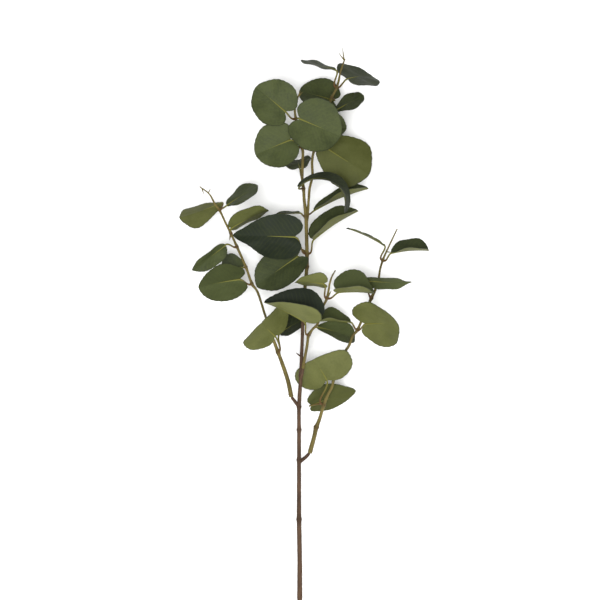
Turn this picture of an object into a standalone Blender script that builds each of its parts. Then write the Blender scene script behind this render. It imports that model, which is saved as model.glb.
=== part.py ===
"""A cut eucalyptus branch of the silver dollar kind, lying on a flat surface.

A brown main stem carries four green sprigs on short pegs, and every sprig carries round leaves on
thin stalks.  The cut end points to -Y, the crown to +Y and +Z is up.  Routes, places and sizes
below are in millimetres and angles in degrees; the objects themselves are built in metres.
"""
import math

import bmesh
import bpy
from mathutils import Euler, Vector

MM = 0.001
COLLECTION = "eucalyptus_branch"

# ------------------------------------------------------------------ driving dimensions
BLADE_THICKNESS = 0.7
BLADE_CELLS = 6             # grid cells across a blade
NOTCH_ANGLE = 17            # half opening of the notch where the stalk enters
TIP_ANGLE = 20              # half opening of the slight point at the tip
CREASE = 2.0                # how far the fold along the midrib is rounded over
STALK_RADIUS = 1.1
MIDRIB_RADIUS = 0.6
MIDRIB_SHARE = 0.3          # part of the blade's length that the stalk runs along
STALK_STEPS = 4
SECTION_TURN = 0.3          # turn of every tube's section, in radians
PEG_RADIUS = 1.4
PEG_LENGTH = 7.0
FIT = 0.3                   # clearance between neighbouring pieces
RING_STEP = 13.0            # spacing of the rings along a stem
KNOT_SPREAD = 3.5           # half length of the swelling at a knot
KNOT_SWELL = 0.8            # how much a knot adds to the stem's radius

# ------------------------------------------------------------------ stem routes
# Points along the middle of a stem: x, y, z, radius.  Knots are the numbers of the points that
# carry leaves or side sprigs.
MAIN_STEM = [
    (-6, -393, 4.0, 3.8), (-6, -336, 9, 3.4), (-7, -277, 15, 3.3), (-7, -221, 22, 3.0),
    (-7, -192, 27, 3.0), (-7, -149, 34, 2.8), (-7, -116, 40, 2.8), (-4.5, -72, 48, 2.6),
    (-2.5, -22, 55, 2.4), (-1.5, 9, 58, 2.3), (0, 30, 60, 2.2),
]
MAIN_KNOTS = [2, 4, 5, 6, 7]
LEFT_STUB = [(-7, -116, 40, 2.4), (-12, -109.5, 42.5, 2.4), (-17, -103, 44.5, 2.2)]
RIGHT_STUB = [(-7, -195, 26, 2.6), (0, -190, 28.5, 2.6), (7, -183, 31, 2.4)]
INNER_STUB = [(-5, -76, 47, 2.2), (-3, -70, 51.5, 2.2), (-1.5, -62, 55, 2.0)]

CROWN_STEM = [
    (0, 30.6, 60, 2.6), (1.5, 52, 61, 2.5), (3, 69, 62, 2.5), (4, 81, 62.5, 2.5),
    (4.2, 99, 63, 2.6), (3.3, 132, 64, 2.5), (2.8, 151, 65, 2.5), (0, 177, 66, 2.1),
    (-0.7, 190, 66, 2.1), (-2.5, 205, 66, 2.0), (-1.5, 238, 66, 2.0), (-2.9, 248, 66, 2.0),
    (-7, 267, 68, 1.8), (-11.5, 287, 71, 1.8), (-13, 301, 73, 1.5), (-11, 309, 75, 1.3),
    (-7.5, 319, 78, 1.0),
]
CROWN_KNOTS = [3, 4, 6, 8, 11, 13]
CROWN_FORK = [
    (3.2, 138, 64, 2.0), (5, 154.5, 64, 2.0), (6.4, 172, 63, 1.8), (7.8, 190, 61, 1.8),
    (11.8, 208, 60, 1.8), (11.3, 228, 59, 1.8), (14, 244, 58, 1.7), (22, 272, 57, 1.7),
    (32, 297, 58, 1.7), (39, 318, 60, 1.7), (46, 331.5, 62, 1.6), (51, 353, 66, 1.3),
    (57, 371, 70, 1.0),
]
CROWN_FORK_KNOTS = [6, 8, 9, 10]

LEFT_SPRIG = [
    (-17.9, -101.6, 45, 3.2), (-22.5, -79.5, 48, 3.0), (-28.6, -60.5, 50, 2.8),
    (-36.5, -38.7, 52, 2.6), (-46.3, -12, 53, 1.8), (-54.3, 12.3, 54, 1.7),
    (-65, 45, 54, 1.7), (-73, 57, 54, 1.8), (-81.5, 80.5, 53, 1.7), (-94, 109, 53, 1.7),
    (-102.5, 127.5, 54, 1.6), (-110, 142.5, 55, 1.5), (-118.5, 160.5, 56, 1.5),
    (-124, 167.5, 57, 1.3), (-132.5, 182.5, 59, 1.1), (-146, 193, 62, 0.8),
]
LEFT_KNOTS = [3, 7, 8, 9, 10, 12]

RIGHT_SPRIG = [
    (8.2, -181.6, 31.6, 3.3), (14.7, -157.5, 36, 3.1), (17.4, -144.7, 38, 3.3),
    (21, -136, 40, 2.6), (28, -113.5, 43, 2.2), (32.7, -100.7, 45, 2.1), (39.8, -86.6, 47, 2.0),
    (42.2, -75.3, 48, 2.0), (50.6, -55.6, 49, 2.0), (58, -38, 50, 2.0), (63, -30, 51, 2.0),
    (69, -15, 52, 1.9), (75, -8, 53, 1.9), (84, 13, 52, 1.8), (94.7, 37, 49, 2.2),
    (103.3, 56.7, 47, 1.7), (107, 77.7, 49, 1.5), (110.7, 90.3, 53, 1.6),
    (115.6, 102.5, 58, 1.2), (130.4, 134, 66, 0.9),
]
RIGHT_KNOTS = [2, 4, 12, 14, 17]

INNER_SPRIG = [
    (-1.3, -61.4, 55.2, 2.4), (0.5, -49.8, 58, 2.1), (4, -31.5, 62, 2.0), (6.5, -14.6, 66, 2.0),
    (12.5, -6, 69, 1.8), (19.5, 2, 71, 1.7), (26, 24, 73, 1.6), (32, 37, 74, 1.7),
    (37, 62, 77, 1.2), (43.5, 75.5, 80, 0.9),
]
INNER_KNOTS = [3, 7]

# Young shoots and buds: stem, start and end of each, and the radius at its foot.
SHOOTS = [
    ("main_stem", (-4.5, -45, 52), (-11.5, -39.5, 54), 1.2),
    ("crown_stem", (4.2, 101, 63), (-8.5, 108, 66), 1.4),
    ("crown_stem", (-13, 301, 73), (-16, 309, 75), 1.3),
    ("crown_stem", (-8.5, 317, 77), (-5, 325.5, 80), 0.9),
    ("crown_stem", (-8.5, 317, 77), (-2, 324, 77), 0.9),
    ("crown_stem", (56, 369, 69.5), (53.5, 386, 74), 0.9),
    ("crown_stem", (56, 369, 69.5), (48.5, 379, 71), 0.9),
    ("crown_stem", (45.5, 331, 62), (50.5, 344, 66), 1.3),
    ("left_sprig_stem", (-102.5, 127.5, 54), (-104.5, 118, 57), 1.2),
    ("left_sprig_stem", (-143, 191, 61.5), (-140, 182, 64), 0.9),
    ("left_sprig_stem", (-134, 184, 59), (-131, 190, 62), 0.9),
    ("right_sprig_stem", (115.4, 102, 58), (121.5, 101, 62), 0.9),
    ("inner_sprig_stem", (32, 37, 74), (38, 47, 77), 1.2),
]


class Leaf:
    """One leaf: where it grows, how it is turned, and how its blade is cut, folded and bent."""

    def __init__(self, route, knot, base, turn, size, fold=8, curl=10, arch=15, twist=0,
                 notch=0.42, tip=0.05, broad=0, ripple=1.0):
        self.route = route          # points of the stem that it grows from
        self.knot = knot            # number of the point that it grows at
        self.base = base            # where the stalk meets the blade
        self.turn = turn            # heading of the midrib, its rise, and the roll about it
        self.length, self.width = size
        self.fold = fold            # how far each half stands up from flat along the midrib
        self.curl = curl            # how much further it stands up at the rim
        self.arch = arch            # how far the midrib bends down from base to tip
        self.twist = twist          # turn about the midrib from base to tip
        self.notch = notch          # depth of the notch at the stalk, as part of the radius
        self.tip = tip              # how far the tip stands out, as part of the radius
        self.broad = broad          # how much wider the blade is towards its tip
        self.ripple = ripple        # height of the waves along the rim


LEAVES = {
    "crown_leaf_1": Leaf(CROWN_STEM, 13, (-26.5, 297, 79), (140, 5, 0), (65, 71)),
    "crown_leaf_2": Leaf(CROWN_STEM, 11, (-20, 257, 74), (202, 0, 5), (64, 70)),
    "crown_leaf_3": Leaf(CROWN_STEM, 13, (-5, 285, 92), (-23, 0, 0), (75, 80)),
    "crown_leaf_4": Leaf(CROWN_STEM, 9, (-6, 220, 48), (105, -66, 0), (56, 44), notch=0.3),
    "crown_leaf_5": Leaf(CROWN_STEM, 8, (-3.5, 193, 104), (41, 0, -76), (108, 50), arch=164,
                         twist=28, notch=0.2, tip=0, broad=0.3),
    "crown_leaf_6": Leaf(CROWN_FORK, 1, (15, 160, 52), (29, 0, -74), (84, 40), fold=31, notch=0.1,
                         broad=0.4),
    "crown_leaf_7": Leaf(CROWN_STEM, 4, (14, 119, 62), (39, 0, -66), (78, 56), fold=36, notch=0.15),
    "crown_leaf_8": Leaf(CROWN_STEM, 6, (-6, 156, 60), (181, 0, 84), (46, 34), notch=0.1),
    "crown_leaf_9": Leaf(CROWN_STEM, 4, (-14, 122, 78), (178, 0, 0), (88, 68), notch=0.4, tip=0.36,
                         broad=-0.18),
    "crown_leaf_10": Leaf(CROWN_STEM, 3, (-10, 94, 74), (214, 0, 20), (86, 64)),
    "crown_leaf_11": Leaf(CROWN_FORK, 6, (33, 247, 48), (-33, 0, 180), (83, 76), tip=0.1,
                          broad=0.3),
    "crown_leaf_12": Leaf(CROWN_FORK, 8, (46, 300.5, 60), (30, 0, -52), (44, 43), fold=2, curl=4,
                          arch=5, notch=0.1, broad=0.25),
    "crown_leaf_13": Leaf(CROWN_FORK, 8, (23.5, 283, 33), (-10, 0, 0), (46, 44)),
    "crown_leaf_14": Leaf(CROWN_FORK, 9, (40, 316, 38), (161, 0, 32), (60, 62)),
    "crown_leaf_15": Leaf(CROWN_FORK, 10, (44, 355.5, 66), (163, 0, 74), (52, 44), fold=2, curl=3,
                          arch=4, notch=0.1, broad=0.3),
    "crown_leaf_16": Leaf(CROWN_FORK, 10, (61, 345, 48), (20, -50, -42), (62, 70), fold=3, curl=5,
                          arch=5, notch=0.2),
    "left_leaf_1": Leaf(LEFT_SPRIG, 3, (-41, -16, 59), (135, 40, 180), (52, 86), arch=30),
    "left_leaf_2": Leaf(LEFT_SPRIG, 3, (-33, -12, 38), (35, 0, -50), (46, 46), notch=0.2),
    "left_leaf_3": Leaf(LEFT_SPRIG, 7, (-91, 63, 56.5), (188, 0, 28), (72, 63), fold=-10),
    "left_leaf_4": Leaf(LEFT_SPRIG, 8, (-85, 80, 44), (178, -45, 0), (56, 44), notch=0.1),
    "left_leaf_5": Leaf(LEFT_SPRIG, 9, (-110, 111, 66), (219, 0, -52), (60, 40), fold=12, arch=5,
                        notch=0.1),
    "left_leaf_6": Leaf(LEFT_SPRIG, 10, (-101, 135, 66), (32, 0, 247), (62, 54), notch=0.2),
    "left_leaf_7": Leaf(LEFT_SPRIG, 12, (-117, 171, 40), (205, 0, 225), (64, 46), fold=12,
                        notch=0.1, broad=0.5),
    "left_leaf_8": Leaf(LEFT_SPRIG, 12, (-107, 167, 64), (35, 0, -57), (52, 46), fold=2, curl=4,
                        arch=5, notch=0.1, broad=0.25),
    "right_leaf_1": Leaf(RIGHT_SPRIG, 4, (32, -78, 47.5), (117, 0, 153), (46, 102), arch=50),
    "right_leaf_2": Leaf(RIGHT_SPRIG, 4, (10, -115, 22), (22, 0, 207), (66, 47), fold=12, notch=0.2,
                         tip=0.25),
    "right_leaf_3": Leaf(RIGHT_SPRIG, 12, (65, 3, 55), (172, 0, 69), (46, 48), fold=26, notch=0.1,
                         broad=0.5),
    "right_leaf_4": Leaf(RIGHT_SPRIG, 12, (87, 1, 64), (4, 44, 212), (84, 80), fold=-5, curl=4,
                         notch=0.5),
    "right_leaf_5": Leaf(RIGHT_SPRIG, 14, (95, 61, 62), (-7, 0, 52), (62, 32), tip=0.25),
    "right_leaf_6": Leaf(RIGHT_SPRIG, 17, (112, 111, 60), (150, 0, 88), (60, 30), arch=12,
                         notch=0.1),
    "right_leaf_7": Leaf(RIGHT_SPRIG, 17, (123, 100, 62), (10, 0, -65), (54, 46), fold=30,
                         notch=0.1, broad=0.2),
    "inner_leaf_1": Leaf(INNER_SPRIG, 3, (-1, 5, 81), (150, 0, 63), (84, 86), fold=55, twist=-30,
                         notch=0.6, broad=-0.3),
    "inner_leaf_2": Leaf(INNER_SPRIG, 3, (19, -4, 47), (-12, -17, -38), (62, 40), fold=15,
                         notch=0.1, broad=0.5),
    "inner_leaf_3": Leaf(INNER_SPRIG, 7, (26, 57, 86), (172, 0, 116), (48, 46), broad=-0.35),
    "inner_leaf_4": Leaf(INNER_SPRIG, 7, (50, 45, 84), (3, 0, -62), (58, 70), fold=38),
}

# ------------------------------------------------------------------ materials
BARK_BROWN = ("brown_bark", (0.085, 0.050, 0.034, 1.0), 0.62)
BARK_GREEN = ("green_bark", (0.19, 0.17, 0.055, 1.0), 0.55)
LEAF_GREEN = ("leaf_green", (0.045, 0.075, 0.040, 1.0), 0.60)


def material(name, colour, roughness):
    """A Principled BSDF with one colour, made once and shared."""
    made = bpy.data.materials.get(name)
    if made:
        return made
    made = bpy.data.materials.new(name)
    made.use_nodes = True
    shader = made.node_tree.nodes["Principled BSDF"]
    shader.inputs["Base Color"].default_value = colour
    shader.inputs["Roughness"].default_value = roughness
    made.diffuse_color = colour
    return made


# ------------------------------------------------------------------ helpers
def clear_scene():
    """Remove what Blender opens with, so that only the branch is left."""
    for thing in list(bpy.data.objects):
        bpy.data.objects.remove(thing, do_unlink=True)


def mesh_object(name, mesh):
    """Put a mesh in the branch's collection as an object."""
    thing = bpy.data.objects.new(name, mesh)
    bpy.data.collections[COLLECTION].objects.link(thing)
    return thing


def evaluated_mesh(thing):
    """The mesh of an object with its modifiers applied, in the object's own space."""
    bpy.context.view_layer.update()
    graph = bpy.context.evaluated_depsgraph_get()
    return bpy.data.meshes.new_from_object(thing.evaluated_get(graph))


def welded(mesh, reach=0.01 * MM):
    """Close a mesh's loose seams and turn its faces outwards."""
    work = bmesh.new()
    work.from_mesh(mesh)
    bmesh.ops.remove_doubles(work, verts=work.verts, dist=reach)
    bmesh.ops.recalc_face_normals(work, faces=work.faces)
    work.to_mesh(mesh)
    work.free()
    return mesh


def tube(name, points, radii, sides_step=1):
    """A round tube with closed ends along a row of points, made as a bevelled curve."""
    curve = bpy.data.curves.new(name, "CURVE")
    curve.dimensions = "3D"
    curve.bevel_depth = MM
    curve.bevel_resolution = sides_step
    curve.use_fill_caps = True
    spline = curve.splines.new("POLY")
    spline.points.add(len(points) - 1)
    for place, point, radius in zip(spline.points, points, radii):
        place.co = (*(point * MM), 1.0)
        place.radius = radius
        place.tilt = SECTION_TURN
    guide = mesh_object(name, curve)
    made = mesh_object(name + "_mesh", welded(evaluated_mesh(guide)))
    made.matrix_world = guide.matrix_world
    bpy.data.objects.remove(guide, do_unlink=True)
    return made


def combined(body, others, operation="UNION"):
    """Join other solids to a body, or cut them from it, and remove the others."""
    for other in others:
        step = body.modifiers.new(operation.title(), "BOOLEAN")
        step.operation = operation
        step.solver = "EXACT"
        step.object = other
    mesh = evaluated_mesh(body)
    body.modifiers.clear()
    body.data = mesh
    for other in others:
        bpy.data.objects.remove(other, do_unlink=True)
    return body


def finish(thing, name, finish_of, parent):
    """Name a piece, give it its material and smooth shading, and hang it on its parent."""
    thing.name = name
    thing.data.name = name
    thing.data.materials.clear()
    thing.data.materials.append(material(*finish_of))
    thing.data.shade_smooth()
    thing.data.set_sharp_from_angle(angle=math.radians(40))
    thing.parent = parent
    return thing


# ------------------------------------------------------------------ stems
def smooth_route(route):
    """Points and radii every ring step along a smooth curve through the route's points."""
    points = [Vector(p[:3]) for p in route]
    radii = [p[3] for p in route]
    ends = [points[0] * 2 - points[1]] + points + [points[-1] * 2 - points[-2]]
    row, sizes = [], []
    for i in range(len(points) - 1):
        a, b, c, d = ends[i:i + 4]
        steps = max(1, round((c - b).length / RING_STEP))
        for k in range(steps):
            t = k / steps
            row.append(0.5 * (2 * b + (c - a) * t + (2 * a - 5 * b + 4 * c - d) * t ** 2
                              + (3 * b - a - 3 * c + d) * t ** 3))
            sizes.append(radii[i] + (radii[i + 1] - radii[i]) * t)
    return row + [points[-1]], sizes + [radii[-1]]


def with_knots(route, knots):
    """A smooth route with a pair of rings beside each knot, and the knot itself swollen."""
    row, sizes = smooth_route(route)
    for number in knots:
        place = Vector(route[number][:3])
        at = min(range(len(row)), key=lambda i: (row[i] - place).length)
        before = row[at] + (row[at - 1] - row[at]).normalized() * KNOT_SPREAD
        after = row[at] + (row[at + 1] - row[at]).normalized() * KNOT_SPREAD
        size = sizes[at]
        row[at:at + 1] = [before, row[at], after]
        sizes[at:at + 1] = [size, size + KNOT_SWELL, size]
    return row, sizes


def peg(route):
    """The thin peg that goes on past the end of a stub, and where it points."""
    end = Vector(route[-1][:3])
    heading = (end - Vector(route[-2][:3])).normalized()
    return [end - heading, end + heading * PEG_LENGTH]


def shoots_on(stem):
    """The small tapered shoots and buds that grow from one stem."""
    made = []
    for number, (owner, start, end, radius) in enumerate(SHOOTS):
        if owner != stem:
            continue
        start, end = Vector(start), Vector(end)
        points = [start, start.lerp(end, 0.55), end]
        made.append(tube(f"shoot_{number}", points, [radius, radius * 0.8, 0.25]))
    return made


def stem(name, route, knots, finish_of, parent, branches=(), pegs=(), sockets=()):
    """A stem with its knots, side branches, shoots, pegs and sockets, as one solid."""
    body = tube(name, *with_knots(route, knots), sides_step=2)
    extra = [tube(f"{name}_side_{i}", *with_knots(side, side_knots), sides_step=2)
             for i, (side, side_knots) in enumerate(branches)]
    extra += [tube(f"{name}_peg_{i}", peg(end), [PEG_RADIUS] * 2, sides_step=2)
              for i, end in enumerate(pegs)]
    extra += shoots_on(name)
    if extra:
        combined(body, extra)
    holes = []
    for i, end in enumerate(sockets):
        start, stop = peg(end)
        reach = (stop - start).normalized() * FIT
        holes.append(tube(f"{name}_hole_{i}", [start, stop + reach], [PEG_RADIUS + FIT] * 2, 2))
    if holes:
        combined(body, holes, "DIFFERENCE")
    return finish(body, name, finish_of, parent)


# ------------------------------------------------------------------ leaves
def rim_share(angle, leaf):
    """Radius of the blade's outline at an angle from the tip, as a share of a plain ellipse."""
    from_notch = (math.pi - abs(angle)) / math.radians(NOTCH_ANGLE)
    from_tip = angle / math.radians(TIP_ANGLE)
    return 1 - leaf.notch * math.exp(-from_notch ** 2) + leaf.tip * math.exp(-from_tip ** 2)


def arc(distance, start, gain, span):
    """Run and rise of a line whose slope grows evenly from start by gain over a span."""
    slope = start + gain * distance / span
    run = span / gain * (math.sin(slope) - math.sin(start))
    rise = span / gain * (math.cos(start) - math.cos(slope))
    return run, rise, slope


def blade_point(u, v, leaf):
    """Where a point of the flat square grid ends up on the folded and bent blade."""
    disc_x = u * math.sqrt(1 - v * v / 2)
    disc_y = v * math.sqrt(1 - u * u / 2)
    angle = math.atan2(disc_y, disc_x)
    share = rim_share(angle, leaf)
    along = leaf.length / 2 * (disc_x * share + 1 - leaf.notch)
    across = leaf.width / 2 * disc_y * share * (1 + leaf.broad * disc_x)
    wave = leaf.ripple * (disc_x ** 2 + disc_y ** 2) * math.sin(5 * angle + leaf.length)
    out = math.sqrt(across ** 2 + CREASE ** 2) - CREASE
    run, rise, _ = arc(out, math.radians(leaf.fold), math.radians(leaf.curl), leaf.width / 2)
    side = math.copysign(run, across)
    lift = rise + wave
    turn = math.radians(leaf.twist) * along / leaf.length
    side, lift = (side * math.cos(turn) - lift * math.sin(turn),
                  side * math.sin(turn) + lift * math.cos(turn))
    forward, drop, slope = arc(along, 0, math.radians(leaf.arch), leaf.length)
    return Vector((forward + lift * math.sin(slope), side, lift * math.cos(slope) - drop))


def blade(name, leaf):
    """The blade: a square grid rounded into the leaf's outline, folded, bent and thickened."""
    sheet = bmesh.new()
    bmesh.ops.create_grid(sheet, x_segments=BLADE_CELLS, y_segments=BLADE_CELLS, size=1)
    for vertex in sheet.verts:
        vertex.co = blade_point(vertex.co.x, vertex.co.y, leaf) * MM
    mesh = bpy.data.meshes.new(name)
    sheet.to_mesh(mesh)
    sheet.free()
    made = mesh_object(name, mesh)
    skin = made.modifiers.new("Solidify", "SOLIDIFY")
    skin.thickness = BLADE_THICKNESS * MM
    skin.offset = 0
    made.data = welded(evaluated_mesh(made))
    made.modifiers.clear()
    return made


def stalk_route(leaf, turn):
    """Points of the stalk from its knot to the blade and along the midrib, in leaf space."""
    knot = Vector(leaf.route[leaf.knot][:3])
    ahead = Vector(leaf.route[min(leaf.knot + 1, len(leaf.route) - 1)][:3])
    behind = Vector(leaf.route[max(leaf.knot - 1, 0)][:3])
    axis = (ahead - behind).normalized()
    reach = Vector(leaf.base) - knot
    outward = (reach - axis * reach.dot(axis)).normalized()
    start = knot + outward * (leaf.route[leaf.knot][3] + KNOT_SWELL + 2 * FIT)
    inverse = turn.inverted()
    start = inverse @ (start - Vector(leaf.base))
    outward = inverse @ outward
    length = start.length
    a, b = start, start + outward * length * 0.4
    c, d = Vector((-length * 0.35, 0, 0)), Vector((0, 0, 0))
    row = []
    for k in range(STALK_STEPS):
        t = k / STALK_STEPS
        row.append(a * (1 - t) ** 3 + b * 3 * t * (1 - t) ** 2 + c * 3 * t ** 2 * (1 - t)
                   + d * t ** 3)
    for k in range(3):
        along = k / 2 * MIDRIB_SHARE * leaf.length
        forward, drop, _ = arc(along, 0, math.radians(leaf.arch), leaf.length)
        row.append(Vector((forward, 0, -drop)))
    return row


def leaf_piece(name, leaf, parent):
    """One leaf, its blade and stalk joined into one solid and turned into place."""
    heading, rise, roll = (math.radians(a) for a in leaf.turn)
    turn = (Euler((0, 0, heading)).to_matrix() @ Euler((0, -rise, 0)).to_matrix()
            @ Euler((roll, 0, 0)).to_matrix())
    made = blade(name, leaf)
    row = stalk_route(leaf, turn)
    radii = [STALK_RADIUS] * STALK_STEPS + [STALK_RADIUS, MIDRIB_RADIUS * 1.4, MIDRIB_RADIUS]
    combined(made, [tube(name + "_stalk", row, radii)])
    made.rotation_euler = turn.to_euler()
    made.location = Vector(leaf.base) * MM
    return finish(made, name, LEAF_GREEN, parent)


# ------------------------------------------------------------------ the branch
def build():
    clear_scene()
    home = bpy.data.collections.new(COLLECTION)
    bpy.context.scene.collection.children.link(home)
    branch = bpy.data.objects.new("branch", None)
    home.objects.link(branch)
    stem("main_stem", MAIN_STEM, MAIN_KNOTS, BARK_BROWN, branch,
         branches=[(LEFT_STUB, []), (RIGHT_STUB, []), (INNER_STUB, [])],
         pegs=[LEFT_STUB, RIGHT_STUB, INNER_STUB, MAIN_STEM])
    stem("crown_stem", CROWN_STEM, CROWN_KNOTS, BARK_GREEN, branch,
         branches=[(CROWN_FORK, CROWN_FORK_KNOTS)], sockets=[MAIN_STEM])
    stem("left_sprig_stem", LEFT_SPRIG, LEFT_KNOTS, BARK_GREEN, branch, sockets=[LEFT_STUB])
    stem("right_sprig_stem", RIGHT_SPRIG, RIGHT_KNOTS, BARK_GREEN, branch, sockets=[RIGHT_STUB])
    stem("inner_sprig_stem", INNER_SPRIG, INNER_KNOTS, BARK_GREEN, branch, sockets=[INNER_STUB])
    for name, leaf in LEAVES.items():
        leaf_piece(name, leaf, branch)


build()
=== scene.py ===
# %% [markdown]
# # A branch of silver dollar eucalyptus
# The branch lies on a pale surface.  Its solid pieces come ready made from the packed model, which
# also gives every piece its place.  Here each leaf and stem gets its fine shape and its finish.
# The camera, the surface and the lamps are placed in metres.  Leaves and stems are built in
# millimetres, and their meshes are brought to metres as they are put in place.

# %% Load the solid model
import math

import bpy
from mathutils import Euler, Matrix, Vector


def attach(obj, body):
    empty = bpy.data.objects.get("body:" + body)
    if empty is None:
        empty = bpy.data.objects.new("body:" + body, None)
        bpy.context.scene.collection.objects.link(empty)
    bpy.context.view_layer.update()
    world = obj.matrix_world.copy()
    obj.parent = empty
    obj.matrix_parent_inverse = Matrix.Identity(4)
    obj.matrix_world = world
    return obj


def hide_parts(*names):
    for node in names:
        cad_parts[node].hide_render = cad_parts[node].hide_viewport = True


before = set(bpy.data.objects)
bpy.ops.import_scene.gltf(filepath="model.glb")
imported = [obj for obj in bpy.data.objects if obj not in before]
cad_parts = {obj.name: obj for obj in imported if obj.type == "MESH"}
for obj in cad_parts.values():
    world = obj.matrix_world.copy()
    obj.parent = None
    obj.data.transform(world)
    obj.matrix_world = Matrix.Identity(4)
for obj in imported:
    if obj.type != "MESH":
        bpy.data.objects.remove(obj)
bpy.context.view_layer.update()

MM = 0.001

# %% [markdown]
# ## Camera
# The branch is seen from straight above, from far enough away that nearby leaves don't swell.  A
# flat, parallel view would do nearly the same, but a long lens keeps the slight spread that a real
# one has.  A camera that isn't turned looks down, with +Y at the top.

# %% Camera
CAMERA_LENS = 135
CAMERA_SENSOR = 36
CAMERA_PLACE = (-0.0056, 0.0343, 3.21)

camera_data = bpy.data.cameras.new("camera")
camera_data.lens = CAMERA_LENS
camera_data.sensor_width = CAMERA_SENSOR
camera = bpy.data.objects.new("camera", camera_data)
camera.location = CAMERA_PLACE
bpy.context.scene.collection.objects.link(camera)
bpy.context.scene.camera = camera
print("camera height:", camera.location.z, "m")

# %% [markdown]
# ## The surface and the light
# Very soft light that comes from near the camera hides each shadow behind its own leaf.  One wide
# lamp overhead does that, a second one from the foot of the branch brightens what faces that way,
# and an even sky fills the rest.

# %% Surface, lamps and sky
FLOOR_SIZE = 14.0
FLOOR_COLOUR = (0.86, 0.86, 0.86)
OVERHEAD_POWER = 115
FOOT_POWER = 75
SKY_STRENGTH = 0.6


def plain_material(name, colour, roughness):
    """A material of one colour."""
    made = bpy.data.materials.new(name)
    made.use_nodes = True
    shader = made.node_tree.nodes["Principled BSDF"]
    shader.inputs["Base Color"].default_value = (*colour, 1)
    shader.inputs["Roughness"].default_value = roughness
    return made


def lamp(name, place, aim, size, power):
    """A square area lamp that points at a place."""
    data = bpy.data.lights.new(name, "AREA")
    data.size = size
    data.energy = power
    made = bpy.data.objects.new(name, data)
    made.location = place
    made.rotation_euler = (Vector(aim) - Vector(place)).to_track_quat("-Z", "Y").to_euler()
    bpy.context.scene.collection.objects.link(made)


bpy.ops.mesh.primitive_plane_add(size=FLOOR_SIZE)
floor = bpy.context.object
floor.name = "floor"
floor.data.materials.append(plain_material("pale_surface", FLOOR_COLOUR, 0.9))

lamp("overhead_lamp", (-0.25, -0.15, 3.3), (0, 0.03, 0), 1.3, OVERHEAD_POWER)
lamp("foot_lamp", (0.4, -2.3, 2.0), (0, 0.05, 0), 1.6, FOOT_POWER)
sky = bpy.data.worlds.new("sky")
sky.use_nodes = True
background = sky.node_tree.nodes["Background"]
background.inputs["Color"].default_value = (1, 1, 1, 1)
background.inputs["Strength"].default_value = SKY_STRENGTH
bpy.context.scene.world = sky
bpy.context.scene.view_settings.view_transform = "Standard"

# %% [markdown]
# ## Sums in a node tree
# The shape of a leaf is a rule with many steps of arithmetic.  A small class lets such sums be
# written with ordinary signs, and each sign becomes one Math node.  It works in trees for geometry
# and in trees for materials alike.

# %% Numbers that make nodes


class Value:
    """A number that runs through a node tree."""

    def __init__(self, tree, socket):
        self.tree = tree
        self.socket = socket

    def math(self, operation, *others):
        node = self.tree.nodes.new("ShaderNodeMath")
        node.operation = operation
        for slot, item in zip(node.inputs, (self, *others)):
            if isinstance(item, Value):
                self.tree.links.new(item.socket, slot)
            else:
                slot.default_value = item
        return Value(self.tree, node.outputs[0])

    def __add__(self, other):
        return self.math("ADD", other)

    def __sub__(self, other):
        return self.math("SUBTRACT", other)

    def __mul__(self, other):
        return self.math("MULTIPLY", other)

    def __truediv__(self, other):
        return self.math("DIVIDE", other)

    def __rsub__(self, other):
        return self.math("MULTIPLY", -1).math("ADD", other)

    __radd__ = __add__
    __rmul__ = __mul__

    def sin(self):
        return self.math("SINE")

    def cos(self):
        return self.math("COSINE")

    def root(self):
        return self.math("SQRT")

    def size(self):
        return self.math("ABSOLUTE")

    def bell(self, width):
        """1 where the value is 0, falling to nothing past the width on both sides."""
        scaled = self / width
        return (scaled * scaled * -1).math("EXPONENT")

    def clamped(self, low=0.0, high=1.0):
        return self.math("MAXIMUM", low).math("MINIMUM", high)

    def step(self, low, high):
        """0 below low, 1 above high, and a soft slope between."""
        node = self.tree.nodes.new("ShaderNodeMapRange")
        node.interpolation_type = "SMOOTHSTEP"
        self.tree.links.new(self.socket, node.inputs["Value"])
        node.inputs["From Min"].default_value = low
        node.inputs["From Max"].default_value = high
        return Value(self.tree, node.outputs["Result"])


print("functions of a Value:", [name for name in vars(Value) if not name.startswith("_")])

# %% [markdown]
# A few helpers add the other nodes.  They take numbers, sockets and Values alike, which keeps each
# node on one line where it is used.

# %% Helpers for nodes and vectors


def add_node(tree, kind, inputs=None, **settings):
    """A node with its settings and inputs; an input is a number, a socket or a Value."""
    node = tree.nodes.new(kind)
    for name, value in settings.items():
        setattr(node, name, value)
    for name, value in (inputs or {}).items():
        if isinstance(value, Value):
            value = value.socket
        if isinstance(value, bpy.types.NodeSocket):
            tree.links.new(value, node.inputs[name])
        else:
            node.inputs[name].default_value = value
    return node


def split(tree, vector):
    """The three numbers of a vector."""
    parts = add_node(tree, "ShaderNodeSeparateXYZ", {0: vector})
    return [Value(tree, socket) for socket in parts.outputs]


def joined(tree, x, y, z):
    """A vector from three numbers."""
    return add_node(tree, "ShaderNodeCombineXYZ", {0: x, 1: y, 2: z}).outputs[0]


def noise(tree, vector, scale, detail=2.0):
    """A cloudy pattern about 0, from -0.5 to 0.5."""
    cloud = add_node(tree, "ShaderNodeTexNoise",
                     {"Vector": vector, "Scale": scale, "Detail": detail})
    return Value(tree, cloud.outputs["Fac"]) - 0.5


# %% [markdown]
# ## Trees for shapes
# Leaves and stems could be modelled by hand one after another.  A tree of Geometry Nodes says the
# rule once instead, and starts from named inputs, so one tree serves for all leaves.  It ends by
# making all instances real.

# %% Parts of a geometry tree


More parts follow.
